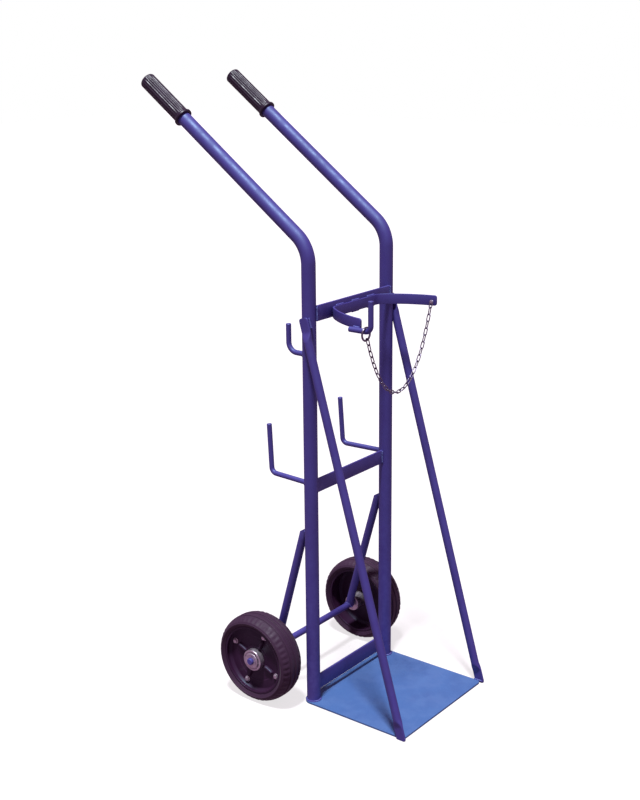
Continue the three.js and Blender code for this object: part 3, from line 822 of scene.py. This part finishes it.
def make_cradle():
    """Flat bar bent in plan, its tips rounded, drilled at the right tip and stitch welded to the top bar."""
    right = arm_points()
    left = [Vector((-p.x, p.y, 0)) for p in reversed(right)]
    radii = [0] * (len(right) - 1) + [KINK_R, KINK_R] + [0] * (len(left) - 1)
    path = [p + Z * cradle_low.z for p in rounded([*right, *left], radii, 6)]
    height = cradle_high.z - cradle_low.z

    def section(i):
        from_tip = min((path[i] - path[0]).length, (path[i] - path[-1]).length)
        near = max(0.0, TIP_CORNER_R - from_tip)
        cut = TIP_CORNER_R - math.sqrt(TIP_CORNER_R ** 2 - near ** 2)
        edge = min(0.0008, 0.0003 + from_tip)
        corners = [(cut, 0), (cut, CRADLE_T), (height - cut, CRADLE_T), (height - cut, 0)]
        return [(p.x, p.y) for p in rounded(corners, edge, 3, closed=True)]

    shell = Shell()
    shell.sweep(path, Z, section)
    made = piece("cradle", shell, FRAME_PAINT, "frame_paint", "frame", "cylinder_saddle")

    cutter_shell = Shell()
    cutter_shell.rod([screw + X * d for d in (-0.012, 0.012)], HOLE_R, Z, 32)
    mesh = bpy.data.meshes.new("cutter")
    mesh.from_pydata(cutter_shell.verts, [], cutter_shell.faces)
    cutter = bpy.data.objects.new("cutter", mesh)
    scene.collection.objects.link(cutter)
    cut = made.modifiers.new("hole", "BOOLEAN")
    cut.object, cut.operation, cut.solver = cutter, "DIFFERENCE", "EXACT"
    bpy.context.view_layer.update()
    drilled = bpy.data.meshes.new_from_object(made.evaluated_get(bpy.context.evaluated_depsgraph_get()))
    made.modifiers.clear()
    made.data = drilled
    bpy.data.objects.remove(cutter)

    shell = Shell()
    for x in (-0.058, 0, 0.058):
        for z in (cradle_low.z, cradle_high.z + 0.0004):
            heart = Vector((x, CRADLE_BACK_Y + CRADLE_T - 0.0004, z))
            shell.weld([heart - X * 0.014, heart + X * 0.014], 0.0022)
    piece("cradle_welds", shell, FRAME_PAINT, "frame_paint", "frame")


make_cradle()


SCREW_HEAD_T = 0.0028
THREAD_START_X = 0.1465
THREADS = 22
THREAD_DEPTH = 0.0003


def make_chain_screw():
    """A hexagon head screw through the right arm, and its nut."""
    low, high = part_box("chain_screw")
    hex_r = (high.z - low.z) / 2
    centre = Vector((low.x, screw.y, screw.z))
    shell = Shell()
    head = [(hex_r * 0.6, 0), (hex_r * 0.86, 0.0001), (hex_r, 0.0007), (hex_r, SCREW_HEAD_T)]
    shell.turned(head, centre, 1, 6, closed=False)
    start = THREAD_START_X - low.x
    pitch = (high.x - 0.0004 - THREAD_START_X) / THREADS
    outline = [(SCREW_R, SCREW_HEAD_T - 0.0005), (SCREW_R, start)]
    for k in range(THREADS):
        outline.append((SCREW_R - THREAD_DEPTH, start + pitch * (k + 0.5)))
        outline.append((SCREW_R, start + pitch * (k + 1)))
    outline.append((SCREW_R - 0.0005, high.x - low.x))
    shell.turned(outline, centre, 1, 24, closed=False)
    piece("cradle_screw", shell, ZINC, "zinc_steel", "frame", "chain_screw")

    low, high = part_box("chain_nut")
    bore = SCREW_R + 0.0002
    outline = loop([(bore, low.x), (hex_r, low.x), (hex_r, high.x), (bore, high.x)],
                   [0.0002, 0.0005, 0.0005, 0.0002], 2)
    shell = Shell()
    shell.turned(outline, Vector((0, screw.y, screw.z)), 1, 6)
    piece("cradle_nut", shell, ZINC, "zinc_steel", "frame", "chain_nut")


make_chain_screw()

# ---------- bent rod hooks ----------
# Each rod leaves the frame level, at its box's lowest corner, and turns up where it reaches out furthest.
# Each hook's sizes are reach (how far out it turns up), lean (its upper run's), top and bend.
CRADLE_HOOK = {"reach": -0.172, "lean": 0, "top": 0.988, "bend": 0.014}
TORCH_HOOK = {"reach": 0.058, "lean": 0, "top": 0.908, "bend": 0.026}
HOSE_HOOK = {"reach": 0.122, "lean": 0.007, "top": 0.661, "bend": 0.014}
HOSE_HOOK_X = (0.1435, 0.136, 0.1345)   # at the root, the corner and the tip
INTO_TUBE = 0.003                 # how far a rod's end lies inside the tube that it is welded to
CRADLE_HOOK_ROOT_Y = -0.116


def make_hook(name, xs, from_y, add_weld, reach, lean, top, bend):
    """A bent rod with chamfered ends, and the weld at its root."""
    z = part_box(name)[0].z + ROD_R
    corners = [(xs[0], from_y, z), (xs[1], reach, z), (xs[2], reach + lean, top)]
    shell = Shell()
    shell.rod(rounded(corners, bend, 14), ROD_R, X, 32, 0.0009)
    add_weld(shell, xs[0], z)
    piece(f"{name}_rod", shell, FRAME_PAINT, "frame_paint", "frame", name)


def weld_to_upright(shell, x, z):
    """A loop on the back of an upright round the rod that leaves it there."""
    ring = []
    for a, b in circle(ROD_R + 0.0006, 32):
        off = x + a - math.copysign(UPRIGHT_X, x)
        ring.append(Vector((x + a, math.sqrt(TUBE_R ** 2 - off ** 2) + 0.0003, z + b)))
    shell.weld(ring, 0.0019, sum(ring, Vector()) / len(ring))


def weld_to_cradle(shell, x, z):
    """Two beads between the rod and the outside of the left arm, over and under it."""
    for z_off in (0.0042, -0.0026):
        line = []
        for y in (-0.139, -0.132, -0.125, -0.119):
            arm = ARM_CENTRE_X + math.sqrt((ARM_R + CRADLE_T) ** 2 - (y - ARM_CENTRE_Y) ** 2)
            line.append(Vector((-arm - 0.0012, y, max(z + z_off, cradle_low.z + 0.0012))))
        shell.weld(line, 0.0026)


x = middle("saddle_hook").x
make_hook("saddle_hook", (x, x, x), CRADLE_HOOK_ROOT_Y, weld_to_cradle, **CRADLE_HOOK)
x = -UPRIGHT_X
make_hook("torch_hook", (x, x, x), TUBE_R - INTO_TUBE, weld_to_upright, **TORCH_HOOK)
for side, label in SIDES:
    xs = [side * x for x in HOSE_HOOK_X]
    make_hook(f"{label}_hose_hook", xs, TUBE_R - INTO_TUBE, weld_to_upright, **HOSE_HOOK)

# ---------- studio ----------
FLOOR_Z = -0.0002
FLOOR_SIZE = 30
FLOOR_GLOW = 0.74
FLOOR_GLOW_COLOR = (1.0, 0.985, 0.995, 1.0)
FLOOR_GREY, FLOOR_GREY_PALE = (0.22, 0.20, 0.20), (0.24, 0.22, 0.22)
KEY_FROM = (-0.26, -0.08, 0.96)
KEY_POWER = 5.9
KEY_ANGLE = 7
KEY_COLOR = (0.88, 0.94, 1.0)
FILL_COLOR = (0.95, 0.58, 0.85)
FILL_POWER = 0.42


def make_floor():
    """Pale paper that glows a little, so that shadows on it stay faint, and that lights nothing else."""
    mesh = bpy.data.meshes.new("floor")
    half = FLOOR_SIZE / 2
    corners = [(-half, -half, FLOOR_Z), (half, -half, FLOOR_Z), (half, half, FLOOR_Z), (-half, half, FLOOR_Z)]
    mesh.from_pydata(corners, [], [(0, 1, 2, 3)])
    glow = {"Specular IOR Level": 0.0, "Emission Color": FLOOR_GLOW_COLOR, "Emission Strength": FLOOR_GLOW}
    look = Finish("floor_paper", 0.9, **glow)
    look.color(look.mix(look.noise(3, 3, 0.5), FLOOR_GREY, FLOOR_GREY_PALE))
    mesh.materials.append(look.material)
    floor = bpy.data.objects.new("floor", mesh)
    scene.collection.objects.link(floor)
    floor.visible_diffuse = False
    floor.visible_glossy = False


def make_key_light():
    """One light with soft shadows, high over the left front corner."""
    data = bpy.data.lights.new("key_light", "SUN")
    data.energy = KEY_POWER
    data.angle = math.radians(KEY_ANGLE)
    data.color = KEY_COLOR
    light = bpy.data.objects.new("key_light", data)
    light.rotation_euler = Vector(KEY_FROM).to_track_quat("Z", "Y").to_euler()
    scene.collection.objects.link(light)


def make_world():
    """White behind the object, and a dim pinkish fill on it."""
    world = bpy.data.worlds.new("studio")
    world.use_nodes = True
    tree = world.node_tree
    fill = tree.nodes["Background"]
    fill.inputs["Color"].default_value = (*FILL_COLOR, 1)
    fill.inputs["Strength"].default_value = FILL_POWER
    white = tree.nodes.new("ShaderNodeBackground")
    white.inputs["Color"].default_value = (1, 1, 1, 1)
    seen = tree.nodes.new("ShaderNodeLightPath")
    mix = tree.nodes.new("ShaderNodeMixShader")
    tree.links.new(seen.outputs["Is Camera Ray"], mix.inputs[0])
    tree.links.new(fill.outputs[0], mix.inputs[1])
    tree.links.new(white.outputs[0], mix.inputs[2])
    tree.links.new(mix.outputs[0], tree.nodes["World Output"].inputs["Surface"])
    scene.world = world


make_floor()
make_key_light()
make_world()
scene.view_settings.view_transform = "Standard"
